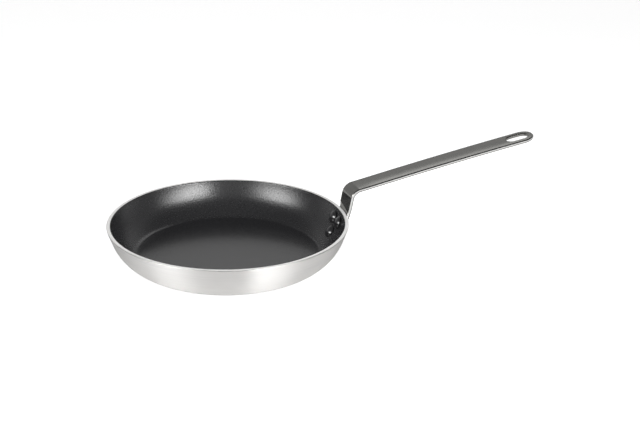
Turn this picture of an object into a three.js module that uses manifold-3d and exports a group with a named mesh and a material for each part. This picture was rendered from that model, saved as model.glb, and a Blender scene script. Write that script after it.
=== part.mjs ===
// Frying pan: a pressed aluminium body with a non-stick lining and a riveted handle of bent steel strip.
// Millimetres, +Z up. The origin is the centre of the flat underside, and the handle points along +X.

import * as THREE from 'three';
import { mergeVertices } from 'three/addons/utils/BufferGeometryUtils.js';
import Module from 'manifold-3d';

const wasm = await Module();
wasm.setup();

const degrees = THREE.MathUtils.degToRad;

// Body
const rimRadius = 140;               // outer edge of the rim
const panHeight = 43;                // underside to rim
const wallThickness = 4.15;
const floorThickness = 4.5;
const wallLean = degrees(20.9);      // straight upper wall, from the vertical
const baseLean = degrees(62.3);      // curved lower wall where it runs into the base plane
const wallCurveRadius = 54;          // outside of the curved lower wall
const baseEdgeRadius = 8;            // between the wall and the underside
const floorCornerRadius = 15;        // between the wall and the floor, inside
const rimEdgeRadius = 0.8;           // outer edge of the rim

// Lining
const liningThickness = 0.3;
const liningGap = 0.05;              // between the lining and the body

// Handle strip
const stripWidth = 28.8;
const stripThickness = 4;
const footGap = 0.2;                 // between the foot and the wall
const footOverlap = 5;               // flat strip below the rim, where it runs into the curved foot
const neckRadius = 12;               // slight bend at the rim, on the face towards the pan
const riserLean = degrees(11.5);     // riser above the rim, from the vertical
const riserLength = 16.5;            // straight stretch between the neck and the main bend
const bendRadius = 14.7;             // main bend, on the outer face
const gripSlope = degrees(12.1);     // grip where it leaves the bend, from the horizontal
const gripArch = degrees(2.15);      // slope that the grip loses on its way to the end
const gripLength = 223.2;
const slotMargin = 6.9;              // strip left around the hanging slot
const slotLength = 26;

// Rivets
const shankRadius = 3;
const holeClearance = 0.15;
const headRadius = 7.5;
const headHeight = 3.3;
const headLip = 0.5;                 // straight edge under the dome
const tailRadius = 5.5;
const tailHeight = 2.4;
const seatGap = 0.25;                // under the head and under the tail
const headGap = 4.5;                 // between neighbouring heads
const headBelowRim = 6.3;            // from the rim to the upper heads, down the wall
const footBorder = 3.5;              // foot plate left around each tail

// Fineness of the round surfaces
const turnSegments = 64;
const rivetSegments = 24;
const arcDivisions = 3;
const neckSteps = 2;
const bendSteps = 10;
const gripSteps = 8;

// The wall's half section: a straight upper wall that runs tangent into one large curve
const curveCentreHeight = wallCurveRadius * Math.sin(baseLean);
const straightFoot = curveCentreHeight - wallCurveRadius * Math.sin(wallLean);
const straightLength = (panHeight - straightFoot) / Math.cos(wallLean);
const curveCentreRadius = rimRadius - straightLength * Math.sin(wallLean) - wallCurveRadius * Math.cos(wallLean);

// Closed geometry to a solid for joining and cutting
function toSolid(geometry) {
  const bare = geometry.clone();
  bare.deleteAttribute('normal');
  bare.deleteAttribute('uv');
  const merged = mergeVertices(bare, 1e-5);
  const corners = merged.index.array;
  const triangles = [];
  for (let i = 0; i < corners.length; i += 3) {
    const [a, b, c] = corners.subarray(i, i + 3);
    const flat = a === b || b === c || c === a;
    if (!flat) triangles.push(a, b, c);
  }
  const mesh = new wasm.Mesh({
    numProp: 3,
    vertProperties: new Float32Array(merged.attributes.position.array),
    triVerts: new Uint32Array(triangles),
  });
  return new wasm.Manifold(mesh);
}

function toGeometry(solid) {
  const { vertProperties, triVerts } = solid.getMesh();
  const geometry = new THREE.BufferGeometry();
  geometry.setAttribute('position', new THREE.BufferAttribute(vertProperties, 3));
  geometry.setIndex(new THREE.BufferAttribute(triVerts, 1));
  geometry.computeVertexNormals();
  return geometry;
}

// Turns a closed half section, given as points of radius and height, about the Z axis
function turned(points, segments) {
  return new THREE.LatheGeometry(points, segments).rotateX(Math.PI / 2);
}

// Half section of a skin of the bowl, from the axis out to the rim plane, at a depth inside the outer skin
function bowlCurve(depth, floorHeight, cornerRadius) {
  const radius = wallCurveRadius - depth;
  const cornerHeight = floorHeight + cornerRadius;
  const centreDrop = curveCentreHeight - cornerHeight;
  const centreReach = Math.sqrt((radius - cornerRadius) ** 2 - centreDrop ** 2);
  const cornerAngle = -Math.atan2(centreDrop, centreReach);
  const path = new THREE.Path();
  path.moveTo(0, floorHeight);
  path.lineTo(curveCentreRadius + centreReach, floorHeight);
  path.absarc(curveCentreRadius + centreReach, cornerHeight, cornerRadius, -Math.PI / 2, cornerAngle);
  path.absarc(curveCentreRadius, curveCentreHeight, radius, cornerAngle, -wallLean);
  path.lineTo(rimRadius - depth / Math.cos(wallLean), panHeight);
  return path.getPoints(arcDivisions);
}

function outsideCurve(gap) {
  return bowlCurve(-gap, -gap, baseEdgeRadius + gap);
}

function insideCurve(gap) {
  return bowlCurve(wallThickness + gap, floorThickness + gap, floorCornerRadius - gap);
}

// Point on the outer skin at a distance down the wall from the rim, with the wall's lean there
function wallPoint(distance) {
  if (distance <= straightLength) {
    return {
      radius: rimRadius - distance * Math.sin(wallLean),
      height: panHeight - distance * Math.cos(wallLean),
      lean: wallLean,
    };
  }
  const lean = wallLean + (distance - straightLength) / wallCurveRadius;
  return {
    radius: curveCentreRadius + wallCurveRadius * Math.cos(lean),
    height: curveCentreHeight - wallCurveRadius * Math.sin(lean),
    lean,
  };
}

// Rivet places, an even triangle: Z of each place points square into the bowl, from zero on the outer skin
const rivetPitch = 2 * headRadius + headGap;
const upperDistance = headBelowRim + headRadius;
const upperRow = wallPoint(upperDistance);
const lowerRow = wallPoint(upperDistance + rivetPitch * Math.cos(Math.PI / 6));
const pairAngle = Math.asin(rivetPitch / 2 / upperRow.radius);

function rivetPlace(row, angle) {
  const place = new THREE.Group();
  place.position.set(row.radius * Math.cos(angle), row.radius * Math.sin(angle), row.height);
  place.rotation.set(0, row.lean - Math.PI / 2, angle, 'ZYX');
  place.updateMatrix();
  return place;
}

const rivetPlaces = {
  rivet_upper_left: rivetPlace(upperRow, pairAngle),
  rivet_upper_right: rivetPlace(upperRow, -pairAngle),
  rivet_lower: rivetPlace(lowerRow, 0),
};

const stackInside = wallThickness + liningGap + liningThickness;
const stackOutside = footGap + stripThickness;

// Cuts the rivet holes through a piece of the riveted stack
function drilled(solid) {
  const reach = 2 * (stackInside + stackOutside);
  const hole = new THREE.CylinderGeometry(
    shankRadius + holeClearance, shankRadius + holeClearance, reach, rivetSegments);
  hole.rotateX(Math.PI / 2);
  let result = solid;
  for (const place of Object.values(rivetPlaces)) {
    result = result.subtract(toSolid(hole.clone().applyMatrix4(place.matrix)));
  }
  return result;
}

function panBody() {
  const outside = outsideCurve(0).slice(0, -1);
  const edge = new THREE.Path();
  edge.absarc(
    rimRadius - rimEdgeRadius * (Math.tan(wallLean) + 1 / Math.cos(wallLean)),
    panHeight - rimEdgeRadius, rimEdgeRadius, -wallLean, Math.PI / 2);
  const inside = insideCurve(0).reverse();
  return drilled(toSolid(turned([...outside, ...edge.getPoints(arcDivisions), ...inside], turnSegments)));
}

function nonstickLining() {
  const outside = insideCurve(liningGap);
  const inside = insideCurve(liningGap + liningThickness).reverse();
  return drilled(toSolid(turned([...outside, ...inside], turnSegments)));
}

// Walks along straight and curved stretches in the XZ plane; a positive turn bends down towards +X
function walk(start, heading, stretches) {
  const stations = [{ point: start.clone(), heading }];
  let last = stations[0];
  for (const { length, turn, steps } of stretches) {
    const stepTurn = turn / steps;
    const half = stepTurn / 2;
    const chord = length / steps * (half === 0 ? 1 : Math.sin(half) / half);
    for (let i = 0; i < steps; i += 1) {
      const direction = last.heading - half;
      const step = new THREE.Vector2(Math.cos(direction), Math.sin(direction)).multiplyScalar(chord);
      last = { point: last.point.clone().add(step), heading: last.heading - stepTurn };
      stations.push(last);
    }
  }
  return stations;
}

// The strip's face towards the pan, which becomes the top of the grip
const neckTurn = wallLean - riserLean;
const bendTurn = Math.PI / 2 - riserLean - gripSlope;
const stripStart = new THREE.Vector2(
  rimRadius + footGap / Math.cos(wallLean) - footOverlap * Math.sin(wallLean),
  panHeight - footOverlap * Math.cos(wallLean));
const stripFace = walk(stripStart, Math.PI / 2 - wallLean, [
  { length: footOverlap, turn: 0, steps: 1 },
  { length: neckRadius * neckTurn, turn: -neckTurn, steps: neckSteps },
  { length: riserLength, turn: 0, steps: 1 },
  { length: bendRadius * bendTurn, turn: bendTurn, steps: bendSteps },
  { length: gripLength, turn: gripArch, steps: gripSteps },
]);
const stripEnd = stripFace[stripFace.length - 1];

// Outline with one or two round ends along X, ending at x = 0
function roundEnded(length, width, bothRound) {
  const radius = width / 2;
  const outline = new THREE.Shape();
  outline.absarc(-radius, 0, radius, -Math.PI / 2, Math.PI / 2);
  if (bothRound) {
    outline.absarc(radius - length, 0, radius, Math.PI / 2, Math.PI * 1.5);
  } else {
    outline.lineTo(-length, radius);
    outline.lineTo(-length, -radius);
  }
  return outline;
}

// Prism of an outline that is drawn on the grip's end, square to the strip there
function throughEnd(outline, inset) {
  const depth = 2 * gripLength;
  const prism = new THREE.ExtrudeGeometry(outline, { depth, bevelEnabled: false, curveSegments: rivetSegments });
  prism.translate(-inset, 0, -depth / 2);
  prism.rotateY(-stripEnd.heading);
  return toSolid(prism.translate(stripEnd.point.x, 0, stripEnd.point.y));
}

function strip() {
  const face = stripFace.map(({ point }) => point);
  const back = stripFace.map(({ point, heading }) => new THREE.Vector2(
    point.x + stripThickness * Math.sin(heading),
    point.y - stripThickness * Math.cos(heading)));
  const side = new THREE.Shape([...face, ...back.reverse()]);
  const bar = new THREE.ExtrudeGeometry(side, { depth: stripWidth, bevelEnabled: false });
  bar.translate(0, 0, -stripWidth / 2).rotateX(Math.PI / 2);
  const outline = roundEnded(2 * gripLength, stripWidth, false);
  const slot = roundEnded(slotLength, stripWidth - 2 * slotMargin, true);
  return toSolid(bar)
    .intersect(throughEnd(outline, 0))
    .subtract(throughEnd(slot, slotMargin));
}

// Foot plate: a patch of a shell that follows the wall, with round corners about the rivets
function foot() {
  const half = rivetPitch / 2;
  const corner = tailRadius + footBorder;
  const slant = Math.atan2(half, upperRow.height - lowerRow.height);
  const neck = new THREE.Vector2(stripWidth / 2 - half, panHeight - upperRow.height);
  const shoulder = neck.angle() - Math.acos(corner / neck.length());
  const outline = new THREE.Shape();
  outline.moveTo(-stripWidth / 2, panHeight);
  outline.lineTo(stripWidth / 2, panHeight);
  outline.absarc(half, upperRow.height, corner, shoulder, -slant, true);
  outline.absarc(0, lowerRow.height, corner, -slant, slant - Math.PI, true);
  outline.absarc(-half, upperRow.height, corner, slant - Math.PI, -Math.PI - shoulder, true);
  const prism = new THREE.ExtrudeGeometry(outline, { depth: 2 * rimRadius, bevelEnabled: false });
  prism.rotateX(Math.PI / 2).rotateZ(Math.PI / 2);
  const shell = turned([...outsideCurve(stackOutside), ...outsideCurve(footGap).reverse()], turnSegments);
  return toSolid(shell).intersect(toSolid(prism));
}

function handle() {
  return drilled(strip().add(foot()));
}

// Rivet: domed head with a crowned seat that fits the curved lining, shank, and closed tail on the foot
function rivet() {
  const seat = stackInside + seatGap;
  const seatCurve = wallCurveRadius - seat;
  const edge = seat + seatCurve - Math.sqrt(seatCurve ** 2 - headRadius ** 2);
  const domeRadius = (headRadius ** 2 + headHeight ** 2) / (2 * headHeight);
  const domeAngle = Math.asin(headRadius / domeRadius);
  const domeCentre = edge + headLip + headHeight - domeRadius;
  const tailSeat = -stackOutside - seatGap;
  const tailChamfer = tailHeight / 2;
  const section = new THREE.Path();
  section.moveTo(0, tailSeat - tailHeight);
  section.lineTo(tailRadius - tailChamfer, tailSeat - tailHeight);
  section.lineTo(tailRadius, tailSeat - tailHeight + tailChamfer);
  section.lineTo(tailRadius, tailSeat);
  section.lineTo(shankRadius, tailSeat);
  section.lineTo(shankRadius, seat + seatCurve - Math.sqrt(seatCurve ** 2 - shankRadius ** 2));
  section.lineTo(headRadius, edge);
  section.absarc(0, domeCentre, domeRadius, Math.PI / 2 - domeAngle, Math.PI / 2);
  return turned(section.getPoints(arcDivisions), rivetSegments);
}

const aluminium = new THREE.MeshStandardMaterial({ color: 0xcfd1d3, roughness: 0.35, metalness: 1 });
const coating = new THREE.MeshStandardMaterial({ color: 0x29292b, roughness: 0.45, metalness: 0 });
const steel = new THREE.MeshStandardMaterial({ color: 0x9a9a98, roughness: 0.25, metalness: 1 });
const rivetBlack = new THREE.MeshStandardMaterial({ color: 0x1a1a1c, roughness: 0.2, metalness: 0.3 });

function named(name, geometry, material) {
  const mesh = new THREE.Mesh(geometry, material);
  mesh.name = name;
  return mesh;
}

const fryingPan = new THREE.Group();
fryingPan.add(named('pan_body', toGeometry(panBody()), aluminium));
fryingPan.add(named('nonstick_lining', toGeometry(nonstickLining()), coating));
fryingPan.add(named('handle', toGeometry(handle()), steel));
for (const [name, place] of Object.entries(rivetPlaces)) {
  place.add(named(name, toGeometry(toSolid(rivet())), rivetBlack));
  fryingPan.add(place);
}

export default fryingPan;
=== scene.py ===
import bpy
import bmesh
import math
from mathutils import Matrix, Vector


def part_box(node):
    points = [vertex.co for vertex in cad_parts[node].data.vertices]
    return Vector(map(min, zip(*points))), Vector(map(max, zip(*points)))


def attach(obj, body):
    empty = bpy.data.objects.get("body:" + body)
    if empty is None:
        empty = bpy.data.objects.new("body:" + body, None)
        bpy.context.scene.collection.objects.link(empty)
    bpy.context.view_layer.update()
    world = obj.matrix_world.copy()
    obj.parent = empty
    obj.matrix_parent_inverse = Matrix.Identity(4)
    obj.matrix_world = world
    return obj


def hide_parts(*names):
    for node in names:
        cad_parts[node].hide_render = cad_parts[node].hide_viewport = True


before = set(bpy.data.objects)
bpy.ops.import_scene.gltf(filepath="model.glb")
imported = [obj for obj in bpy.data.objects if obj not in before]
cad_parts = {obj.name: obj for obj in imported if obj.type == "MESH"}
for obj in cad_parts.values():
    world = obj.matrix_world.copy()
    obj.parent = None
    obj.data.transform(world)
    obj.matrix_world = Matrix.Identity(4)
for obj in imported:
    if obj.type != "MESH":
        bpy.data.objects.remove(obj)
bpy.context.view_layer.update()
mm = 0.001
sharpAngle = math.radians(50)             # edges that turn more than this stay crisp
print("frame loaded with", len(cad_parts), "nodes")


# Small helpers for node trees
def addNode(tree, kind, inputs=None, **settings):
    node = tree.nodes.new(kind)
    for name, value in settings.items():
        setattr(node, name, value)
    for name, value in (inputs or {}).items():
        if isinstance(value, bpy.types.NodeSocket):
            tree.links.new(value, node.inputs[name])
        else:
            node.inputs[name].default_value = value
    return node


def addMath(tree, operation, first, second=0.0):
    return addNode(tree, "ShaderNodeMath", {0: first, 1: second}, operation=operation).outputs[0]


def addVector(tree, operation, inputs):
    return addNode(tree, "ShaderNodeVectorMath", inputs, operation=operation)


# Value that goes from low to high while another goes from start to end
def mapRange(tree, value, start, end, low=0.0, high=1.0):
    return addNode(tree, "ShaderNodeMapRange", {
        "Value": value, "From Min": start, "From Max": end, "To Min": low, "To Max": high}).outputs[0]


# Value between two limits, following a mask from 0 to 1
def between(tree, mask, low, high):
    return mapRange(tree, mask, 0.0, 1.0, low, high)


def newObject(name, data):
    thing = bpy.data.objects.new(name, data)
    bpy.context.scene.collection.objects.link(thing)
    return thing


# A half section, given as (radius, height), kept as a row of points
def rowObject(name, section):
    mesh = bpy.data.meshes.new(name)
    mesh.from_pydata([(r, 0, z) for r, z in section], [(i, i + 1) for i in range(len(section) - 1)], [])
    return newObject(name, mesh)


# Runs a node tree on an object and keeps the result as its plain mesh
def runTree(thing, tree, values):
    modifier = thing.modifiers.new("shape", "NODES")
    modifier.node_group = tree
    for item in tree.interface.items_tree:
        if item.in_out == "INPUT" and item.name in values:
            modifier[item.identifier] = values[item.name]
    return keepResult(thing)


def keepResult(thing):
    graph = bpy.context.evaluated_depsgraph_get()
    mesh = bpy.data.meshes.new_from_object(thing.evaluated_get(graph))
    thing.modifiers.clear()
    thing.data = mesh
    return thing


# Empty geometry tree with named inputs, each given with its kind
def newShapeTree(name, inputs):
    tree = bpy.data.node_groups.new(name, "GeometryNodeTree")
    for label, kind in inputs.items():
        tree.interface.new_socket(label, in_out="INPUT", socket_type="NodeSocket" + kind)
    tree.interface.new_socket("Geometry", in_out="OUTPUT", socket_type="NodeSocketGeometry")
    return tree, addNode(tree, "NodeGroupInput").outputs


# Geometry Nodes tree that turns a half section about the Z axis
def makeTurningTree():
    weld = 0.004 * mm                     # joins the seam and the poles
    tree, given = newShapeTree("turnHalfSection", {
        "Half Section": "Geometry", "Turn Steps": "Int", "Material": "Material"})
    section, steps = given["Half Section"], given["Turn Steps"]
    count = addNode(tree, "GeometryNodeAttributeDomainSize", {"Geometry": section}).outputs["Point Count"]
    around = addMath(tree, "ADD", steps, 1.0)
    grid = addNode(tree, "GeometryNodeMeshGrid", {"Vertices X": count, "Vertices Y": around})
    index = addNode(tree, "GeometryNodeInputIndex").outputs[0]
    row = addMath(tree, "FLOOR", addMath(tree, "DIVIDE", index, around))
    place = addNode(tree, "GeometryNodeInputPosition").outputs[0]
    point = addNode(tree, "GeometryNodeSampleIndex", {"Geometry": section, "Index": row},
                    data_type="FLOAT_VECTOR", domain="POINT")
    tree.links.new(place, point.inputs["Value"])
    parts = addNode(tree, "ShaderNodeSeparateXYZ", {0: point.outputs[0]})
    share = addMath(tree, "DIVIDE", addMath(tree, "MODULO", index, around), steps)
    angle = addMath(tree, "MULTIPLY", share, math.tau)
    turned = addNode(tree, "ShaderNodeCombineXYZ", {
        0: addMath(tree, "MULTIPLY", parts.outputs[0], addMath(tree, "COSINE", angle)),
        1: addMath(tree, "MULTIPLY", parts.outputs[0], addMath(tree, "SINE", angle)),
        2: parts.outputs[2]})
    shaped = addNode(tree, "GeometryNodeSetPosition",
                     {"Geometry": grid.outputs["Mesh"], "Position": turned.outputs[0]})
    merged = addNode(tree, "GeometryNodeMergeByDistance", {"Geometry": shaped.outputs[0], "Distance": weld})
    outward = addNode(tree, "GeometryNodeFlipFaces", {"Mesh": merged.outputs[0]})
    smooth = addNode(tree, "GeometryNodeSetShadeSmooth", {"Geometry": outward.outputs[0]})
    real = addNode(tree, "GeometryNodeRealizeInstances", {"Geometry": smooth.outputs[0]})
    painted = addNode(tree, "GeometryNodeSetMaterial",
                      {"Geometry": real.outputs[0], "Material": given["Material"]})
    addNode(tree, "NodeGroupOutput", {"Geometry": painted.outputs[0]})
    return tree


# Points of an arc, both ends included
def arc(centre, radius, start, end, steps):
    points = []
    for i in range(steps + 1):
        turn = start + (end - start) * i / steps
        points.append((centre[0] + radius * math.cos(turn), centre[1] + radius * math.sin(turn)))
    return points


# Body, in metres
pan = {
    "height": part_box("pan_body")[1].z,
    "reach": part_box("pan_body")[1].x,     # widest radius, just under the rim
    "wall": 4.15 * mm,
    "floor": 4.5 * mm,
    "wallLean": math.radians(20.9),       # straight upper wall, from the vertical
    "baseLean": math.radians(62.3),       # curved wall where it meets the base plane
    "wallCurve": 54 * mm,
    "baseEdge": 8 * mm,
    "floorCorner": 15 * mm,
    "rimOuterEdge": 0.8 * mm,
    "rimInnerEdge": 0.15 * mm,
    "innerBow": math.radians(5.5),        # the inside goes on curving up to the rim
    "turnSteps": 288,
    "floorRings": (0, 0.1, 0.4, 0.8, 0.99),   # shares of the flat floor's radius
    "cornerSteps": 14,
    "curveSteps": 20,
    "bowSteps": 12,
    "outerEdgeSteps": 8,
    "innerEdgeSteps": 6,
    "wallHold": 8 * mm,                   # rings that keep the wall and the rim flat
    "edgeHold": 0.6 * mm,
    "rimHold": 0.3 * mm,
}
pan["rim"] = pan["reach"] + pan["rimOuterEdge"] * (
    math.tan(pan["wallLean"]) + 1 / math.cos(pan["wallLean"]) - 1)
pan["curveHeight"] = pan["wallCurve"] * math.sin(pan["baseLean"])
pan["straight"] = (pan["height"] - pan["curveHeight"]) / math.cos(pan["wallLean"]) \
    + pan["wallCurve"] * math.tan(pan["wallLean"])
pan["curveRadius"] = pan["rim"] - pan["straight"] * math.sin(pan["wallLean"]) \
    - pan["wallCurve"] * math.cos(pan["wallLean"])


# One skin of the bowl from the axis up its curved wall, to where the wall has the given lean
def bowlSkin(depth, floorHeight, corner, lean):
    radius = pan["wallCurve"] - depth
    drop = pan["curveHeight"] - floorHeight - corner
    reach = math.sqrt((radius - corner) ** 2 - drop ** 2)
    meet = -math.atan2(drop, reach)
    flat = pan["curveRadius"] + reach
    points = [(flat * share, floorHeight) for share in pan["floorRings"]]
    points += arc((flat, floorHeight + corner), corner, -math.pi / 2, meet, pan["cornerSteps"])
    points += arc((pan["curveRadius"], pan["curveHeight"]), radius, meet, -lean, pan["curveSteps"])[1:]
    return points


# Point on a skin's straight wall at a height
def wallAt(depth, height):
    lean = pan["wallLean"]
    return (pan["rim"] - depth / math.cos(lean) - (pan["height"] - height) * math.tan(lean), height)


# Inside skin up to a height just under the rim, its upper wall a faint arc
def insideSkin(gap, top):
    lean = pan["wallLean"] + pan["innerBow"]
    points = bowlSkin(pan["wall"] + gap, pan["floor"] + gap, pan["floorCorner"] - gap, lean)
    start = Vector(points[-1])
    chord = Vector(wallAt(pan["wall"] + gap, top)) - start
    heading = math.pi / 2 - lean
    swing = math.atan2(chord.y, chord.x) - heading
    for k in range(1, pan["bowSteps"] + 1):
        turned = swing * k / pan["bowSteps"]
        length = chord.length * math.sin(turned) / math.sin(swing)
        angle = heading + turned
        points.append((start.x + length * math.cos(angle), start.y + length * math.sin(angle)))
    return points


def bodySection():
    lean, top = pan["wallLean"], pan["height"]
    outer, inner = pan["rimOuterEdge"], pan["rimInnerEdge"]
    points = bowlSkin(0, 0, pan["baseEdge"], lean)
    points += [wallAt(0, top - pan["wallHold"]), wallAt(0, top - outer - pan["edgeHold"])]
    outerCentre = pan["rim"] - outer * (math.tan(lean) + 1 / math.cos(lean))
    points += arc((outerCentre, top - outer), outer, -lean, math.pi / 2, pan["outerEdgeSteps"])
    innerCentre = wallAt(pan["wall"], top - inner)[0] + inner / math.cos(lean)
    points += [(outerCentre - pan["rimHold"], top), (innerCentre + pan["rimHold"], top)]
    points += arc((innerCentre, top - inner), inner, math.pi / 2, math.pi - lean, pan["innerEdgeSteps"])
    return points + insideSkin(0, top - 2 * inner)[::-1]


# Point on the outer skin at a distance down the wall from the rim, with the lean there
def wallPoint(distance):
    if distance <= pan["straight"]:
        lean = pan["wallLean"]
        return pan["rim"] - distance * math.sin(lean), pan["height"] - distance * math.cos(lean), lean
    lean = pan["wallLean"] + (distance - pan["straight"]) / pan["wallCurve"]
    radius = pan["curveRadius"] + pan["wallCurve"] * math.cos(lean)
    return radius, pan["curveHeight"] - pan["wallCurve"] * math.sin(lean), lean


# Lining
lining = {
    "gap": 0.05 * mm,                     # to the body
    "thickness": 0.3 * mm,
    "topDrop": 0.08 * mm,                 # bare rim edge above the lining
    "crown": 0.1 * mm,                    # rise of its upper edge's middle
}


def liningSection():
    top = pan["height"] - lining["topDrop"]
    sides = []
    for gap in (lining["gap"], lining["gap"] + lining["thickness"]):
        sides.append(insideSkin(gap, top - lining["crown"]))
    crown = wallAt(pan["wall"] + lining["gap"] + lining["thickness"] / 2, top)
    return sides[0] + [crown] + sides[1][::-1]


# Rivets
rivet = {
    "shank": 3 * mm,
    "headRadius": 7.5 * mm,
    "headHeight": 3.3 * mm,
    "headLip": 0.75 * mm,
    "lipRound": 0.45 * mm,
    "lipLean": 0.1,                       # share of the rounding that the lip leans in
    "headFoot": 0.2 * mm,                 # chamfer under the head
    "domeShare": 0.96,                    # of the dome's arc, clear of the lip
    "domeSteps": 14,
    "seatGap": 0.02 * mm,                 # under the head and under the tail
    "tailRadius": 5.5 * mm,
    "tailHeight": 2.4 * mm,
    "tailRound": 1.5 * mm,
    "tailHold": 0.9,                      # share of the tail's flat end, a ring that keeps it flat
    "tailSteps": 8,
    "headGap": 4.5 * mm,                  # between neighbouring heads
    "belowRim": 6.3 * mm,                 # from the rim to the upper heads
    "hole": 3.15 * mm,
    "drillSides": 32,
    "drillLength": 30 * mm,
    "turnSteps": 48,
}
rivet["pitch"] = 2 * rivet["headRadius"] + rivet["headGap"]
rivet["upper"] = rivet["belowRim"] + rivet["headRadius"]
rivet["lower"] = rivet["upper"] + rivet["pitch"] * math.cos(math.pi / 6)


# Rivet section along its own axis, zero on the outer skin and up into the bowl
def rivetSection():
    seat = pan["wall"] + lining["gap"] + lining["thickness"] + rivet["seatGap"]
    tailSeat = -strip["footGap"] - strip["thickness"] - rivet["seatGap"]
    tailEnd = tailSeat - rivet["tailHeight"]
    tailFlat = rivet["tailRadius"] - rivet["tailRound"]
    points = [(0, tailEnd), (tailFlat * rivet["tailHold"], tailEnd)]
    tailCentre = (tailFlat, tailEnd + rivet["tailRound"])
    points += arc(tailCentre, rivet["tailRound"], -math.pi / 2, 0, rivet["tailSteps"])
    points += [(rivet["tailRadius"], tailSeat), (rivet["shank"], tailSeat), (rivet["shank"], seat)]
    head = rivet["headRadius"]
    seatCurve = pan["wallCurve"] - seat
    rise = seatCurve - math.sqrt(seatCurve ** 2 - head ** 2)    # of the curved wall under the head's edge
    edge = seat + rise
    points += [(head - rivet["headFoot"], edge), (head, edge + rivet["headFoot"])]
    lipTop = edge + rivet["headLip"]
    leanIn = rivet["lipLean"] * rivet["lipRound"]
    points += [(head, lipTop - rivet["lipRound"]), (head - leanIn, lipTop)]
    dome = (head ** 2 + rivet["headHeight"] ** 2) / (2 * rivet["headHeight"])
    angle = math.asin(head / dome) * rivet["domeShare"]
    domeCentre = (0, lipTop + rivet["headHeight"] - dome)
    return points + arc(domeCentre, dome, math.pi / 2 - angle, math.pi / 2, rivet["domeSteps"])


# Geometry Nodes tree that sets the same rivet on every point, turned by the point's own tilt
def makeRivetTree(turningTree):
    tree, given = newShapeTree("setRivets", {
        "Places": "Geometry", "Rivet Section": "Object", "Turn Steps": "Int",
        "Head Material": "Material", "Tail Material": "Material"})
    section = addNode(tree, "GeometryNodeObjectInfo", {"Object": given["Rivet Section"]})
    turned = addNode(tree, "GeometryNodeGroup", {
        "Half Section": section.outputs["Geometry"], "Turn Steps": given["Turn Steps"],
        "Material": given["Head Material"]}, node_tree=turningTree)
    place = addNode(tree, "ShaderNodeSeparateXYZ", {0: addNode(tree, "GeometryNodeInputPosition").outputs[0]})
    outside = addMath(tree, "LESS_THAN", place.outputs[2], 0.0)
    marked = addNode(tree, "GeometryNodeStoreNamedAttribute",
                     {"Geometry": turned.outputs[0], "Name": "outside", "Value": outside},
                     data_type="FLOAT", domain="FACE")
    tilt = addNode(tree, "GeometryNodeInputNamedAttribute", {"Name": "tilt"}, data_type="FLOAT_VECTOR")
    placed = addNode(tree, "GeometryNodeInstanceOnPoints",
                     {"Points": given["Places"], "Instance": marked.outputs[0],
                      "Rotation": tilt.outputs["Attribute"]})
    real = addNode(tree, "GeometryNodeRealizeInstances", {"Geometry": placed.outputs[0]})
    tail = addNode(tree, "GeometryNodeInputNamedAttribute", {"Name": "outside"}, data_type="FLOAT")
    painted = addNode(tree, "GeometryNodeSetMaterial",
                      {"Geometry": real.outputs[0], "Selection": tail.outputs["Attribute"],
                       "Material": given["Tail Material"]})
    addNode(tree, "NodeGroupOutput", {"Geometry": painted.outputs[0]})
    return tree


# Rivet places on the outer skin, with Z square into the bowl
def rivetPlaces():
    places = []
    pairAngle = math.asin(rivet["pitch"] / 2 / wallPoint(rivet["upper"])[0])
    for distance, angle in ((rivet["upper"], pairAngle), (rivet["upper"], -pairAngle), (rivet["lower"], 0)):
        radius, height, lean = wallPoint(distance)
        spot = Vector((radius * math.cos(angle), radius * math.sin(angle), height))
        turn = Matrix.Rotation(angle, 4, "Z") @ Matrix.Rotation(lean - math.pi / 2, 4, "Y")
        places.append(Matrix.Translation(spot) @ turn)
    return places


def makeRivets(headMaterial, tailMaterial, turningTree):
    places = rivetPlaces()
    mesh = bpy.data.meshes.new("rivets")
    mesh.from_pydata([place.translation for place in places], [], [])
    tilt = mesh.attributes.new("tilt", "FLOAT_VECTOR", "POINT")
    for spot, place in zip(tilt.data, places):
        spot.vector = place.to_euler()
    section = rowObject("rivetSection", rivetSection())
    rivets = runTree(newObject("rivets", mesh), makeRivetTree(turningTree), {
        "Rivet Section": section, "Turn Steps": rivet["turnSteps"],
        "Head Material": headMaterial, "Tail Material": tailMaterial})
    bpy.data.objects.remove(section)
    rivets.data.set_sharp_from_angle(angle=sharpAngle)
    return rivets


# Cuts the rivet holes through a piece, with one cutter of three plain pins
def drillHoles(piece):
    pins = bmesh.new()
    for place in rivetPlaces():
        bmesh.ops.create_cone(pins, cap_ends=True, segments=rivet["drillSides"], radius1=rivet["hole"],
                              radius2=rivet["hole"], depth=rivet["drillLength"], matrix=place)
    mesh = bpy.data.meshes.new("drill")
    pins.to_mesh(mesh)
    pins.free()
    mesh.materials.append(piece.data.materials[0])
    cutter = newObject("drill", mesh)
    cut = piece.modifiers.new("holes", "BOOLEAN")
    cut.object = cutter
    cut.solver = "EXACT"
    keepResult(piece)
    bpy.data.objects.remove(cutter)
    piece.data.set_sharp_from_angle(angle=sharpAngle)


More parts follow.
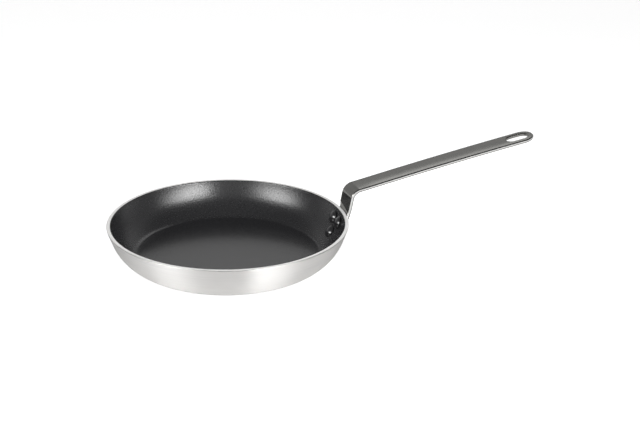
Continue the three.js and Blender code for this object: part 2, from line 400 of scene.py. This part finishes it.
# Handle strip
strip = {
    "width": 28.8 * mm,
    "thickness": 4.0 * mm,
    "footGap": 0.1 * mm,                  # to the wall
    "footBorder": 3.5 * mm,               # round the rivet tails
    "neckRound": 30 * mm,                 # outline where the foot widens
    "neckBend": 12 * mm,
    "riserLean": math.radians(11.5),
    "riser": 16.5 * mm,
    "bend": 14.7 * mm,
    "gripSlope": math.radians(12.1),
    "gripArch": math.radians(2.15),       # slope that the grip loses on its way to the end
    "grip": 223.2 * mm,
    "slotMargin": 6.9 * mm,
    "slotLength": 26 * mm,
    "crown": 0.3 * mm,                    # rise of the middle over the long edges
    "skew": 0.065,                        # slope of the bend's line across the strip, a little askew
    "skewPivot": 5 * mm,                  # on the near side of the middle
    "rimEase": 7 * mm,                    # from the curved foot to the flat strip, and on into the skew
    "gripEase": 40 * mm,                  # from the skewed bend to the crowned grip
    "chamfer": (1.1 * mm, 1.1 * mm),      # of the grip's upper edges: drop and run
    "riserChamfer": 0.3,                  # share of it on the foot and riser
    "chamferRound": 0.15 * mm,
    "backRound": 1.6 * mm,                # of the lower edges
    "hold": 0.5 * mm,                     # narrow band that keeps the faces flat
    "edgeSteps": 4,
    "cornerStep": math.radians(5),
    "stretchCuts": (16, 8, 8, 4, 26, 30),     # parts of each stretch, from the foot to the grip
    "lengthCuts": 7,                      # parts of each half of the foot's width
}


# Line of the strip's face towards the pan, from the foot's lower end to the tip, as lengths and turns
def stripStretches():
    footEnd = rivet["lower"] + rivet["tailRadius"] + strip["footBorder"]
    lean = wallPoint(footEnd)[2]
    neckTurn = strip["riserLean"] - pan["wallLean"]
    bendTurn = math.pi / 2 - strip["riserLean"] - strip["gripSlope"]
    return footEnd, [
        ((pan["wallCurve"] + strip["footGap"]) * (lean - pan["wallLean"]), pan["wallLean"] - lean),
        (pan["straight"] + strip["footGap"] * math.tan(pan["wallLean"]), 0),
        (strip["neckBend"] * -neckTurn, neckTurn),
        (strip["riser"], 0),
        (strip["bend"] * bendTurn, bendTurn),
        (strip["grip"], strip["gripArch"]),
    ]


footEnd, stretches = stripStretches()
rimStation = stretches[0][0] + stretches[1][0]
bendStation = rimStation + stretches[2][0] + stretches[3][0]
gripStation = bendStation + stretches[4][0]
tipStation = sum(length for length, turn in stretches)


# Point and heading on that line; a positive turn bends down towards +X
def stripAt(station):
    radius, height, lean = wallPoint(footEnd)
    spot = Vector((radius + strip["footGap"] * math.cos(lean), height - strip["footGap"] * math.sin(lean)))
    heading = math.pi / 2 - lean
    left = station
    for length, turn in stretches:
        part = min(left, length)
        swing = turn * part / length
        chord = part if abs(swing) < 1e-9 else part * math.sin(swing / 2) / (swing / 2)
        direction = heading - swing / 2
        spot = spot + chord * Vector((math.cos(direction), math.sin(direction)))
        heading -= swing
        left -= part
    return spot, heading


# Eases from 0 at the first station to 1 at the second
def ease(station, first, second):
    share = min(max((station - first) / (second - first), 0), 1)
    return share * share * (3 - 2 * share)


# Bends a flat point of the strip into place: station, across, and depth below the face
def bendPoint(station, across, depth):
    rimEase, gripEase = strip["rimEase"], strip["gripEase"]
    skewIn = ease(station, rimStation, rimStation + rimEase)
    skewOut = ease(station, gripStation + gripEase, gripStation)
    askew = skewIn * skewOut * strip["skew"] * (across + strip["skewPivot"])
    spot, heading = stripAt(station + askew)
    normal = Vector((math.sin(heading), -math.cos(heading)))
    hug = ease(station, rimStation, rimStation - rimEase) * math.cos(pan["wallLean"]) / pan["rim"]
    side, out = across, depth
    if hug > 1e-6:                        # the foot is curved round the pan
        side = (depth + 1 / hug) * math.sin(hug * across)
        out = (depth + 1 / hug) * math.cos(hug * across) - 1 / hug
    crowned = ease(station, bendStation, bendStation + gripEase)
    out += crowned * strip["crown"] * (2 * across / strip["width"]) ** 2
    gripWay = Vector((math.cos(strip["gripSlope"]), math.sin(strip["gripSlope"])))
    place = spot - askew * gripWay + out * normal
    return Vector((place.x, side, place.y))


# Rounds the corners of a closed outline of (x, y, radius); gives points with their outward normals
def roundCorners(corners):
    closest = 0.001 * mm                  # nearer points count as one
    loop = []
    for i, (x, y, radius) in enumerate(corners):
        here = Vector((x, y))
        before = (here - Vector(corners[i - 1][:2])).normalized()
        after = (Vector(corners[(i + 1) % len(corners)][:2]) - here).normalized()
        turn = math.atan2(before.cross(after), before.dot(after))
        start = here - before * radius * math.tan(abs(turn) / 2)
        side = 1 if turn > 0 else -1
        centre = start + side * radius * Vector((-before.y, before.x))
        count = max(2, math.ceil(abs(turn) / strip["cornerStep"]))
        for k in range(count + 1):
            heading = Matrix.Rotation(turn * k / count, 2) @ before
            normal = Vector((heading.y, -heading.x))
            loop.append((centre + side * radius * normal, normal))
    return [spot for i, spot in enumerate(loop) if (spot[0] - loop[i - 1][0]).length > closest]


# Crossing of two lines that touch circles of one radius
# Each line is given by its circle's centre and its own outward angle
def tangentCorner(centreA, angleA, centreB, angleB, radius):
    normalA = Vector((math.cos(angleA), math.sin(angleA)))
    normalB = Vector((math.cos(angleB), math.sin(angleB)))
    sides = Matrix((normalA, normalB)).inverted()
    return sides @ Vector((normalA.dot(centreA) + radius, normalB.dot(centreB) + radius))


# Flat outline of the strip with its foot, counter-clockwise, stations along X
def stripOutline():
    half = strip["width"] / 2
    corner = rivet["tailRadius"] + strip["footBorder"]
    upper = Vector((rimStation - rivet["upper"], rivet["pitch"] / 2))
    lower = Vector((rimStation - rivet["lower"], 0))
    neck = Vector((rimStation, half)) - upper
    shoulder = math.atan2(neck.y, neck.x) + math.acos(corner / neck.length)
    flank = math.atan2(upper.y - lower.y, upper.x - lower.x) + math.pi / 2
    widest = tangentCorner(upper, shoulder, upper, flank, corner)
    bottom = tangentCorner(lower, flank, lower, -flank, corner)
    return [
        (bottom.x, 0, corner),
        (widest.x, -widest.y, corner),
        (rimStation, -half, strip["neckRound"]),
        (bendStation, -half, 0),
        (gripStation, -half, 0),
        (tipStation, -half, half),
        (tipStation, half, half),
        (gripStation, half, 0),
        (bendStation, half, 0),
        (rimStation, half, strip["neckRound"]),
        (widest.x, widest.y, corner),
    ]


# Outline of an opening with round ends, from one station to another
def roundEnded(start, end, across, half):
    return [(start, across - half, half), (end, across - half, half),
            (end, across + half, half), (start, across + half, half)]


def slotOutline():
    end = tipStation - strip["slotMargin"]
    return roundEnded(end - strip["slotLength"], end, 0, strip["width"] / 2 - strip["slotMargin"])


# Round holes under the rivet tails
def holeOutlines():
    half = rivet["hole"]
    pair = rivet["pitch"] / 2
    outlines = []
    for distance, across in ((rivet["upper"], pair), (rivet["upper"], -pair), (rivet["lower"], 0)):
        middle = rimStation - distance
        outlines.append(roundEnded(middle - half, middle + half, across, half))
    return outlines


# Rounding of a corner, between the slopes before and after it
def softCorner(depth, inset, before, after, radius):
    steps = strip["edgeSteps"]
    tangent = radius * math.tan((after - before) / 2)
    depth += radius * math.cos(before) - tangent * math.sin(before)
    inset += radius * math.sin(before) + tangent * math.cos(before)
    slopes = [before + (after - before) * k / steps for k in range(steps + 1)]
    return [(depth - radius * math.cos(slope), inset - radius * math.sin(slope)) for slope in slopes]


# Rings of the strip's edge as depth and inset: chamfer and side, then the rounding to the back
def edgeRings():
    drop, run = strip["chamfer"]
    tilt = math.atan2(drop, run)
    front = [(0, run + strip["hold"])]
    front += softCorner(0, run, 0, tilt, strip["chamferRound"])
    front += softCorner(drop, 0, tilt, math.pi / 2, strip["chamferRound"])
    back = softCorner(strip["thickness"], 0, math.pi / 2, math.pi, strip["backRound"])
    back += [(strip["thickness"], strip["backRound"] + strip["hold"])]
    return front, back


# Chamfers are slight up to the bend and full along the grip
def chamferShare(station):
    share = min(max((station - bendStation) / (gripStation - bendStation), 0), 1)
    return strip["riserChamfer"] + (1 - strip["riserChamfer"]) * share


# Lays rings round an outline, with side -1 for an opening; gives the edges of the front and back rings
def addRings(shape, outline, side):
    front, back = edgeRings()
    loop = roundCorners(outline)
    rings = []
    for k, (depth, inset) in enumerate(front + back):
        ring = []
        for spot, normal in loop:
            share = chamferShare(spot.x) if k < len(front) else 1
            place = spot - side * inset * share * normal
            ring.append(shape.verts.new((place.x, place.y, depth * share)))
        rings.append(ring)
    for k in range(len(rings) - 1):
        cutSide = side > 0 and k == len(front) - 1
        for i in range(len(loop)):
            face = shape.faces.new((rings[k][i - 1], rings[k][i], rings[k + 1][i], rings[k + 1][i - 1]))
            face.material_index = 1 if cutSide else 0
    ends = (rings[0], rings[-1])
    return [[shape.edges.get((ring[i - 1], ring[i])) for i in range(len(ring))] for ring in ends]


def cutAcross(shape, point, normal):
    everything = shape.verts[:] + shape.edges[:] + shape.faces[:]
    bmesh.ops.bisect_plane(shape, geom=everything, plane_co=point, plane_no=normal, dist=1e-7)


# Edges across and along the flat strip, so that it can bend
def cutStrip(shape):
    stations = []
    start = 0
    for (length, turn), count in zip(stretches, strip["stretchCuts"]):
        stations += [start + length * k / count for k in range(count)]
        start += length
    for station in stations[1:]:
        cutAcross(shape, (station, 0, 0), (1, 0, 0))
    half = rivet["pitch"] / 2 + rivet["tailRadius"] + strip["footBorder"]
    count = strip["lengthCuts"]
    for k in range(1 - count, count):
        cutAcross(shape, (0, half * k / count, 0), (0, 1, 0))


# Built flat, then bent; the UV map keeps each point's place on the flat strip
def makeHandle(faceMaterial, edgeMaterial):
    shape = bmesh.new()
    frontEdges, backEdges = addRings(shape, stripOutline(), 1)
    for opening in [slotOutline()] + holeOutlines():
        front, back = addRings(shape, opening, -1)
        frontEdges += front
        backEdges += back
    for edges in (frontEdges, backEdges):
        bmesh.ops.triangle_fill(shape, edges=edges, use_beauty=True, use_dissolve=False)
    bmesh.ops.recalc_face_normals(shape, faces=shape.faces)
    cutStrip(shape)
    flatPlace = shape.loops.layers.uv.new("flatPlace")
    for face in shape.faces:
        face.smooth = True
        for loop in face.loops:
            loop[flatPlace].uv = (loop.vert.co.x, loop.vert.co.y + loop.vert.co.z)
    for vert in shape.verts:
        vert.co = bendPoint(*vert.co)
    bmesh.ops.recalc_face_normals(shape, faces=shape.faces)
    mesh = bpy.data.meshes.new("handle")
    shape.to_mesh(mesh)
    shape.free()
    mesh.materials.append(faceMaterial)
    mesh.materials.append(edgeMaterial)
    return newObject("handleStrip", mesh)


# Shared shader groups
def newShaderGroup(name, inputs, output):
    group = bpy.data.node_groups.new(name, "ShaderNodeTree")
    for label, value in inputs.items():
        group.interface.new_socket(label, in_out="INPUT", socket_type="NodeSocketFloat").default_value = value
    group.interface.new_socket(output, in_out="OUTPUT", socket_type="NodeSocketFloat")
    return group, addNode(group, "NodeGroupInput").outputs


def placeGroup(tree, group, values):
    return addNode(tree, "ShaderNodeGroup", values, node_tree=group).outputs[0]


# Lines that run round the Z axis, as a turning tool leaves them
def makeTurningLines():
    group, given = newShaderGroup("turningLines", {"Lines per mm": 3.0, "Length": 1.5}, "Lines")
    place = addNode(group, "ShaderNodeTexCoord").outputs["Object"]
    parts = addNode(group, "ShaderNodeSeparateXYZ", {0: place}).outputs
    flat = addNode(group, "ShaderNodeCombineXYZ", {0: parts[0], 1: parts[1]}).outputs[0]
    radius = addVector(group, "LENGTH", {0: flat}).outputs["Value"]
    around = addVector(group, "NORMALIZE", {0: flat}).outputs[0]
    stretch = addMath(group, "DIVIDE", 1.0, given["Length"])
    long = addVector(group, "SCALE", {0: around, "Scale": stretch}).outputs[0]
    ends = addNode(group, "ShaderNodeSeparateXYZ", {0: long}).outputs
    along = addMath(group, "ADD", radius, parts[2])
    fine = addMath(group, "MULTIPLY", along, addMath(group, "MULTIPLY", given["Lines per mm"], 1 / mm))
    vector = addNode(group, "ShaderNodeCombineXYZ", {0: ends[0], 1: ends[1], 2: fine}).outputs[0]
    noise = addNode(group, "ShaderNodeTexNoise", {"Vector": vector, "Scale": 1.0, "Detail": 3.0})
    addNode(group, "NodeGroupOutput", {"Lines": noise.outputs["Fac"]})
    return group


# Soft cloudy haze from handling and wiping
def makeHaze():
    group, given = newShaderGroup("handlingHaze", {"Size mm": 30.0, "Contrast": 1.0}, "Haze")
    place = addNode(group, "ShaderNodeTexCoord").outputs["Object"]
    scale = addMath(group, "DIVIDE", 1 / mm, given["Size mm"])
    noise = addNode(group, "ShaderNodeTexNoise", {"Vector": place, "Scale": scale, "Detail": 4.0,
                                                  "Roughness": 0.6, "Distortion": 0.4})
    middle = addMath(group, "SUBTRACT", noise.outputs["Fac"], 0.5)
    spread = addMath(group, "MULTIPLY", middle, given["Contrast"])
    addNode(group, "NodeGroupOutput", {"Haze": addMath(group, "ADD", spread, 0.5)})
    return group


# Fine lines along the flat strip, as rolling leaves them
def makeRollingGrain():
    group, given = newShaderGroup("rollingGrain", {"Line Length mm": 18.0, "Line Width mm": 0.5}, "Grain")
    place = addNode(group, "ShaderNodeUVMap", uv_map="flatPlace").outputs[0]
    scale = addNode(group, "ShaderNodeCombineXYZ", {
        0: addMath(group, "DIVIDE", 1 / mm, given["Line Length mm"]),
        1: addMath(group, "DIVIDE", 1 / mm, given["Line Width mm"]),
        2: 1.0}).outputs[0]
    stretched = addVector(group, "MULTIPLY", {0: place, 1: scale}).outputs[0]
    noise = addNode(group, "ShaderNodeTexNoise", {"Vector": stretched, "Scale": 1.0, "Detail": 3.0})
    addNode(group, "NodeGroupOutput", {"Grain": noise.outputs["Fac"]})
    return group


turningLines = makeTurningLines()
handlingHaze = makeHaze()
rollingGrain = makeRollingGrain()


# Finishes
def newMaterial(name, sockets):
    material = bpy.data.materials.new(name)
    material.use_nodes = True
    shader = material.node_tree.nodes["Principled BSDF"]
    for label, value in sockets.items():
        shader.inputs[label].default_value = value
    return material, material.node_tree, shader


def feed(node, label, socket):
    node.id_data.links.new(socket, node.inputs[label])


# Colour from the first to the second, following a mask
def mixColours(tree, mask, first, second):
    node = addNode(tree, "ShaderNodeMix", data_type="RGBA")
    tree.links.new(mask, node.inputs["Factor"])
    for slot, value in ((6, first), (7, second)):     # the colour sockets
        if isinstance(value, bpy.types.NodeSocket):
            tree.links.new(value, node.inputs[slot])
        else:
            node.inputs[slot].default_value = (*value, 1)
    return node.outputs[2]


def heightOf(tree, place):
    return addNode(tree, "ShaderNodeSeparateXYZ", {0: place}).outputs[2]


# Colour and roughness between a finish's limits, each following a mask
def paint(shader, finish, colourMask, roughMask):
    tree = shader.id_data
    feed(shader, "Base Color", mixColours(tree, colourMask, finish["dark"], finish["light"]))
    feed(shader, "Roughness", between(tree, roughMask, *finish["rough"]))


def roughen(shader, strength, depth, relief):
    values = {"Strength": strength, "Distance": depth, "Height": relief}
    feed(shader, "Normal", addNode(shader.id_data, "ShaderNodeBump", values).outputs[0])


# Flat turned ring of the rim, duller than the wall
rimFinish = {
    "dark": (0.75, 0.745, 0.735),
    "light": (0.87, 0.865, 0.855),
    "metal": 0.35,
    "rough": (0.42, 0.56),
    "bump": 0.1,
    "bumpDepth": 0.02 * mm,
}


def rimAluminium():
    material, tree, shader = newMaterial("rimAluminium", {"Metallic": rimFinish["metal"]})
    lines = placeGroup(tree, turningLines, {"Lines per mm": 3.0, "Length": 0.4})
    haze = placeGroup(tree, handlingHaze, {"Size mm": 30.0, "Contrast": 1.2})
    paint(shader, rimFinish, lines, haze)
    roughen(shader, rimFinish["bump"], rimFinish["bumpDepth"], lines)
    return material


# Turned wall, whose fine lines draw each light out into an upright band
wallFinish = {
    "dark": (0.715, 0.705, 0.692),
    "light": (0.915, 0.905, 0.888),
    "fineShare": 0.7,                     # of fine lines, the rest is coarse ones
    "paintedFootShade": (0.40, 0.39, 0.375),         # painted shade at the foot of the wall, in place of the shadowed floor it mirrors
    "paintedFootShadeShare": 0.45,
    "paintedFootShadeHeight": 4 * mm,
    "rough": (0.34, 0.46),
    "roughHaze": 0.03,
    "bump": 0.15,
    "bumpDepth": 0.02 * mm,
}


def turnedAluminium():
    material, tree, shader = newMaterial("turnedAluminium", {
        "Metallic": 1.0, "Anisotropic": 1.0, "Anisotropic Rotation": 0.25})
    feed(shader, "Tangent", addNode(tree, "ShaderNodeTangent", direction_type="RADIAL", axis="Z").outputs[0])
    fine = placeGroup(tree, turningLines, {"Lines per mm": 2.5, "Length": 0.6})
    coarse = placeGroup(tree, turningLines, {"Lines per mm": 0.35, "Length": 0.9})
    haze = placeGroup(tree, handlingHaze, {"Size mm": 45.0, "Contrast": 1.2})
    lines = addMath(tree, "ADD", addMath(tree, "MULTIPLY", fine, wallFinish["fineShare"]),
                    addMath(tree, "MULTIPLY", coarse, 1 - wallFinish["fineShare"]))
    bare = mixColours(tree, lines, wallFinish["dark"], wallFinish["light"])
    height = heightOf(tree, addNode(tree, "ShaderNodeTexCoord").outputs["Object"])
    # Painted shade: the base colour darkens over the lowest few mm of the wall, in place of the shadowed
    # floor that it mirrors
    paintedFootShade = mapRange(tree, height, 0.0, wallFinish["paintedFootShadeHeight"], wallFinish["paintedFootShadeShare"], 0.0)
    feed(shader, "Base Color", mixColours(tree, paintedFootShade, bare, wallFinish["paintedFootShade"]))
    cloudy = between(tree, haze, -wallFinish["roughHaze"], wallFinish["roughHaze"])
    feed(shader, "Roughness", addMath(tree, "ADD", between(tree, lines, *wallFinish["rough"]), cloudy))
    roughen(shader, wallFinish["bump"], wallFinish["bumpDepth"], fine)
    return material


# Black lining: grainy on the wall, smoother and glossier on the flat floor
liningFinish = {
    "dark": (0.0115, 0.0115, 0.0124),
    "light": (0.0145, 0.0145, 0.0157),
    "speck": (0.022, 0.022, 0.0235),
    "speckPitch": 1.6 * mm,
    "speckReach": 0.32,                   # of the pitch, for the largest
    "speckPower": 3.0,                    # higher means fewer large specks
    "specular": 0.95,
    "grain": 1.9 * mm,
    "wallRough": (0.15, 0.35),
    "floorRough": (0.14, 0.24),
    "roughHaze": 0.02,
    "floorCoat": 0.25,
    "coatRough": 0.15,
    "floorTop": (1.0 * mm, 0.45 * mm),    # over the body's floor, where the floor's look begins and is full
    "bump": (1.0, 0.6),                   # on the wall and on the floor
    "bumpDepth": 0.15 * mm,
}


def nonstickCoating():
    material, tree, shader = newMaterial("nonstickCoating", {
        "Metallic": 0.0, "Specular IOR Level": liningFinish["specular"],
        "Coat Roughness": liningFinish["coatRough"]})
    place = addNode(tree, "ShaderNodeTexCoord").outputs["Object"]
    grain = addNode(tree, "ShaderNodeTexNoise", {"Vector": place, "Scale": 1 / liningFinish["grain"],
                                                 "Detail": 2.0, "Roughness": 0.6}).outputs["Fac"]
    cells = addNode(tree, "ShaderNodeTexVoronoi", {"Vector": place, "Scale": 1 / liningFinish["speckPitch"]})
    size = addNode(tree, "ShaderNodeSeparateXYZ", {0: cells.outputs["Color"]}).outputs[0]
    uneven = addMath(tree, "POWER", size, liningFinish["speckPower"])
    reach = addMath(tree, "MULTIPLY", uneven, liningFinish["speckReach"])
    speck = addMath(tree, "LESS_THAN", cells.outputs["Distance"], reach)
    haze = placeGroup(tree, handlingHaze, {"Size mm": 60.0, "Contrast": 1.0})
    begin, full = liningFinish["floorTop"]
    flat = mapRange(tree, heightOf(tree, place), pan["floor"] + begin, pan["floor"] + full)
    black = mixColours(tree, grain, liningFinish["dark"], liningFinish["light"])
    feed(shader, "Base Color", mixColours(tree, speck, black, liningFinish["speck"]))
    feed(shader, "Coat Weight", between(tree, flat, 0.0, liningFinish["floorCoat"]))
    low, high = [between(tree, flat, wall, floor)
                 for wall, floor in zip(liningFinish["wallRough"], liningFinish["floorRough"])]
    cloudy = between(tree, haze, -liningFinish["roughHaze"], liningFinish["roughHaze"])
    feed(shader, "Roughness", addMath(tree, "ADD", between(tree, grain, low, high), cloudy))
    roughen(shader, between(tree, flat, *liningFinish["bump"]), liningFinish["bumpDepth"], grain)
    return material


# Smooth rolled faces of the strip
stripFinish = {
    "dark": (0.23, 0.228, 0.217),
    "light": (0.305, 0.303, 0.288),
    "rough": (0.10, 0.14),
}


def stripSteel():
    material, tree, shader = newMaterial("stripSteel", {"Metallic": 1.0})
    grain = placeGroup(tree, rollingGrain, {"Line Length mm": 18.0, "Line Width mm": 0.5})
    haze = placeGroup(tree, handlingHaze, {"Size mm": 14.0, "Contrast": 1.4})
    mixed = addMath(tree, "MULTIPLY", addMath(tree, "ADD", grain, haze), 0.5)
    paint(shader, stripFinish, mixed, mixed)
    return material


# Cut sides of the strip, brighter and rougher than its rolled faces
cutFinish = {
    "dark": (0.68, 0.677, 0.667),
    "light": (0.88, 0.877, 0.865),
    "rough": (0.20, 0.34),
}


def stripCutEdge():
    material, tree, shader = newMaterial("stripCutEdge", {"Metallic": 1.0})
    grain = placeGroup(tree, rollingGrain, {"Line Length mm": 18.0, "Line Width mm": 0.5})
    paint(shader, cutFinish, grain, grain)
    return material


# Glossy black heads in the bowl
headFinish = {
    "dark": (0.008, 0.008, 0.009),
    "light": (0.02, 0.02, 0.021),
    "rough": (0.14, 0.24),
    "specular": 1.0,
    "coat": 0.8,
    "coatRough": 0.1,
}


def rivetBlack():
    material, tree, shader = newMaterial("rivetBlack", {
        "Metallic": 0.0, "Specular IOR Level": headFinish["specular"],
        "Coat Weight": headFinish["coat"], "Coat Roughness": headFinish["coatRough"]})
    haze = placeGroup(tree, handlingHaze, {"Size mm": 3.0, "Contrast": 1.4})
    paint(shader, headFinish, haze, haze)
    return material


# Bare closed tails on the foot
tailFinish = {
    "dark": (0.62, 0.62, 0.63),
    "light": (0.80, 0.80, 0.80),
    "rough": (0.25, 0.45),
}


def rivetBare():
    material, tree, shader = newMaterial("rivetBare", {"Metallic": 1.0})
    haze = placeGroup(tree, handlingHaze, {"Size mm": 4.0, "Contrast": 1.5})
    paint(shader, tailFinish, haze, haze)
    return material


# The rim's flat ring gets its own finish
def paintRim(body, material):
    upright = 0.9                         # faces that look more upwards than this
    body.data.materials.append(material)
    for face in body.data.polygons:
        if face.center.z > pan["height"] - pan["rimOuterEdge"] and face.normal.z > upright:
            face.material_index = len(body.data.materials) - 1


aluminium = turnedAluminium()
coating = nonstickCoating()
steel = stripSteel()
print("materials made")

turningTree = makeTurningTree()
panBody = runTree(rowObject("panBody", bodySection()), turningTree,
                  {"Turn Steps": pan["turnSteps"], "Material": aluminium})
nonstickLining = runTree(rowObject("nonstickLining", liningSection()), turningTree,
                         {"Turn Steps": pan["turnSteps"], "Material": coating})
handleStrip = makeHandle(steel, stripCutEdge())
rivets = makeRivets(rivetBlack(), rivetBare(), turningTree)
for piece in (panBody, nonstickLining):
    drillHoles(piece)
paintRim(panBody, rimAluminium())
print("pieces made:", {p.name: len(p.data.polygons) for p in (panBody, nonstickLining, handleStrip, rivets)})

for piece, slot, nodes in (
        (panBody, "turned_aluminium", ["pan_body"]),
        (nonstickLining, "nonstick_coating", ["nonstick_lining"]),
        (handleStrip, "strip_steel", ["handle"]),
        (rivets, "black_rivet", ["rivet_upper_left", "rivet_upper_right", "rivet_lower"])):
    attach(piece, "root")
    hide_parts(*nodes)

# Camera
view = {
    "azimuth": math.radians(-14.3),
    "elevation": math.radians(22.28),     # of the line from the rim's centre
    "distance": 2.462,
    "lens": 120,
    "sensor": 36,
    "turn": math.radians(-2.675),         # away from the rim's centre
    "pitch": math.radians(22.047),
    "roll": math.radians(0.241),
}


# Direction from the pan, by azimuth from -Y and elevation
def wayTo(azimuth, elevation):
    level = math.cos(elevation)
    return Vector((math.sin(azimuth) * level, -math.cos(azimuth) * level, math.sin(elevation)))


def makeCamera():
    data = bpy.data.cameras.new("camera")
    data.lens = view["lens"]
    data.sensor_width = view["sensor"]
    camera = newObject("camera", data)
    heading = view["azimuth"] + view["turn"]
    back = wayTo(heading, view["pitch"])
    right = Vector((math.cos(heading), math.sin(heading), 0))
    axes = Matrix((right, back.cross(right), back)).transposed()
    axes = axes @ Matrix.Rotation(view["roll"], 3, "Z")
    spot = Vector((0, 0, pan["height"])) + view["distance"] * wayTo(view["azimuth"], view["elevation"])
    camera.matrix_world = Matrix.Translation(spot) @ axes.to_4x4()
    bpy.context.scene.camera = camera


# Softboxes, by their bearing from the camera's side and their rise over the horizon, in degrees
lamps = {
    "right": {
        "bearing": 51, "rise": 25.0, "distance": 1.7, "size": (1.84, 0.85), "power": 62,
        "hotSpot": 0.23, "mirrored": True},
    "left": {
        "bearing": -55.5, "rise": 25.0, "distance": 1.7, "size": (2.15, 0.85), "power": 55,
        "hotSpot": 0.5, "mirrored": True},
    "back": {
        "bearing": 172, "rise": 38.8, "distance": 2.0, "size": (0.85, 0.56), "power": 1.25,
        "mirrored": True},
    "overhead": {
        "bearing": 0, "rise": 80, "distance": 1.6, "size": (1.4, 1.4), "power": 15,
        "mirrored": False},
}


# Soft lamp that fades from its hot spot, a share of the way across
def fadeFrom(tree, hotSpot):
    place = addNode(tree, "ShaderNodeNewGeometry").outputs["Parametric"]
    offset = addVector(tree, "SUBTRACT", {0: place, 1: (hotSpot, 0.5, 0)}).outputs[0]
    reach = max(hotSpot, 1 - hotSpot)
    scaled = addVector(tree, "MULTIPLY", {0: offset, 1: (1 / reach, 2, 0)}).outputs[0]
    share = addVector(tree, "LENGTH", {0: scaled}).outputs["Value"]
    fade = addNode(tree, "ShaderNodeMapRange", {"Value": share, "To Min": 1.0, "To Max": 0.0},
                   interpolation_type="SMOOTHSTEP")
    feed(tree.nodes["Emission"], "Strength", fade.outputs[0])


def makeLamp(name, place):
    data = bpy.data.lights.new(name, "AREA")
    data.shape = "RECTANGLE"
    data.size, data.size_y = place["size"]
    data.energy = place["power"]
    if "hotSpot" in place:
        data.use_nodes = True
        fadeFrom(data.node_tree, place["hotSpot"])
    lamp = newObject(name, data)
    lamp.visible_glossy = place["mirrored"]
    toLamp = wayTo(view["azimuth"] + math.radians(place["bearing"]), math.radians(place["rise"]))
    lamp.location = toLamp * place["distance"]
    lamp.rotation_euler = toLamp.to_track_quat("Z", "Y").to_euler()
    lamp.visible_camera = False


# Studio round the pan: pale at the horizon, darker above and to both sides
studio = {
    "levels": (                           # sine of the angle over the horizon, and the grey there
        (0.0, 0.62), (0.36, 0.45), (0.45, 0.44), (0.68, 0.12), (1.0, 0.10)),
    "sides": (0.5, 0.95),                 # sideways part of a direction, where the shade begins and is full
    "sideLevel": 0.5,
}


def makeWorld():
    world = bpy.data.worlds.new("studio")
    world.use_nodes = True
    tree = world.node_tree
    bpy.context.scene.world = world
    place = addNode(tree, "ShaderNodeTexCoord").outputs["Generated"]
    ramp = addNode(tree, "ShaderNodeValToRGB", {"Fac": heightOf(tree, place)})
    stops = ramp.color_ramp.elements
    for k, (spot, level) in enumerate(studio["levels"]):
        stop = stops[k] if k < 2 else stops.new(spot)     # a new ramp has two stops
        stop.position = spot
        stop.color = (level, level, level, 1)
    background = tree.nodes["Background"]
    feed(background, "Color", ramp.outputs[0])
    right = (math.cos(view["azimuth"]), math.sin(view["azimuth"]), 0)
    side = addMath(tree, "ABSOLUTE", addVector(tree, "DOT_PRODUCT", {0: place, 1: right}).outputs["Value"])
    feed(background, "Strength", mapRange(tree, side, *studio["sides"], 1.0, studio["sideLevel"]))


# Pale floor, white to the camera and greyer in what metal mirrors; distances from the pan's axis
stage = {
    "reach": 6.0,
    "drop": 0.2 * mm,                     # under the pan's base
    "far": (0.28, 0.6),                   # distance where the floor starts to grey, and where it is done
    "grey": (0.6, 0.38),                  # near and far
    "rough": 0.9,
    "near": (0.26, 0.2),                  # distance where the pan's own shade begins and is full
    "beside": (0.07, -0.03),              # towards the camera, where that shade begins and is full
    "shade": 0.4,                         # what that shade leaves in what the wall mirrors
    "cameraGlow": 0.75,
    "mirrorGlow": (0.25, 0.36),           # near and far
}


def makeFloor():
    mesh = bpy.data.meshes.new("floor")
    reach = stage["reach"]
    mesh.from_pydata([(-reach, -reach, 0), (reach, -reach, 0), (reach, reach, 0), (-reach, reach, 0)],
                     [], [(0, 1, 2, 3)])
    floor = newObject("floor", mesh)
    floor.location.z = -stage["drop"]
    material, tree, shader = newMaterial("paleFloor", {"Roughness": stage["rough"]})
    place = addNode(tree, "ShaderNodeTexCoord").outputs["Object"]
    away = addVector(tree, "LENGTH", {0: place}).outputs["Value"]
    far = mapRange(tree, away, *stage["far"])
    near = mapRange(tree, away, *stage["near"])
    toward = wayTo(view["azimuth"], 0)
    depth = addVector(tree, "DOT_PRODUCT", {0: place, 1: toward}).outputs["Value"]
    beside = mapRange(tree, depth, *stage["beside"])
    path = addNode(tree, "ShaderNodeLightPath").outputs
    mirrored = addMath(tree, "MAXIMUM", path["Is Glossy Ray"], path["Is Transmission Ray"])
    flank = addMath(tree, "MULTIPLY", addMath(tree, "MULTIPLY", near, beside), mirrored)
    kept = between(tree, flank, 1.0, stage["shade"])
    feed(shader, "Base Color", addMath(tree, "MULTIPLY", between(tree, far, *stage["grey"]), kept))
    mirrorGlow = addMath(tree, "MULTIPLY", addMath(tree, "MULTIPLY", mirrored, kept),
                         between(tree, far, *stage["mirrorGlow"]))
    cameraGlow = addMath(tree, "MULTIPLY", path["Is Camera Ray"], stage["cameraGlow"])
    glow = addMath(tree, "MAXIMUM", cameraGlow, mirrorGlow)
    white = addNode(tree, "ShaderNodeEmission", {"Color": (1, 1, 1, 1), "Strength": glow})
    both = addNode(tree, "ShaderNodeAddShader", {0: shader.outputs[0], 1: white.outputs[0]})
    feed(tree.nodes["Material Output"], "Surface", both.outputs[0])
    mesh.materials.append(material)


makeCamera()
for name, place in lamps.items():
    makeLamp(name, place)
makeWorld()
makeFloor()
bpy.context.scene.view_settings.view_transform = "Standard"
print("camera, lamps and floor made")
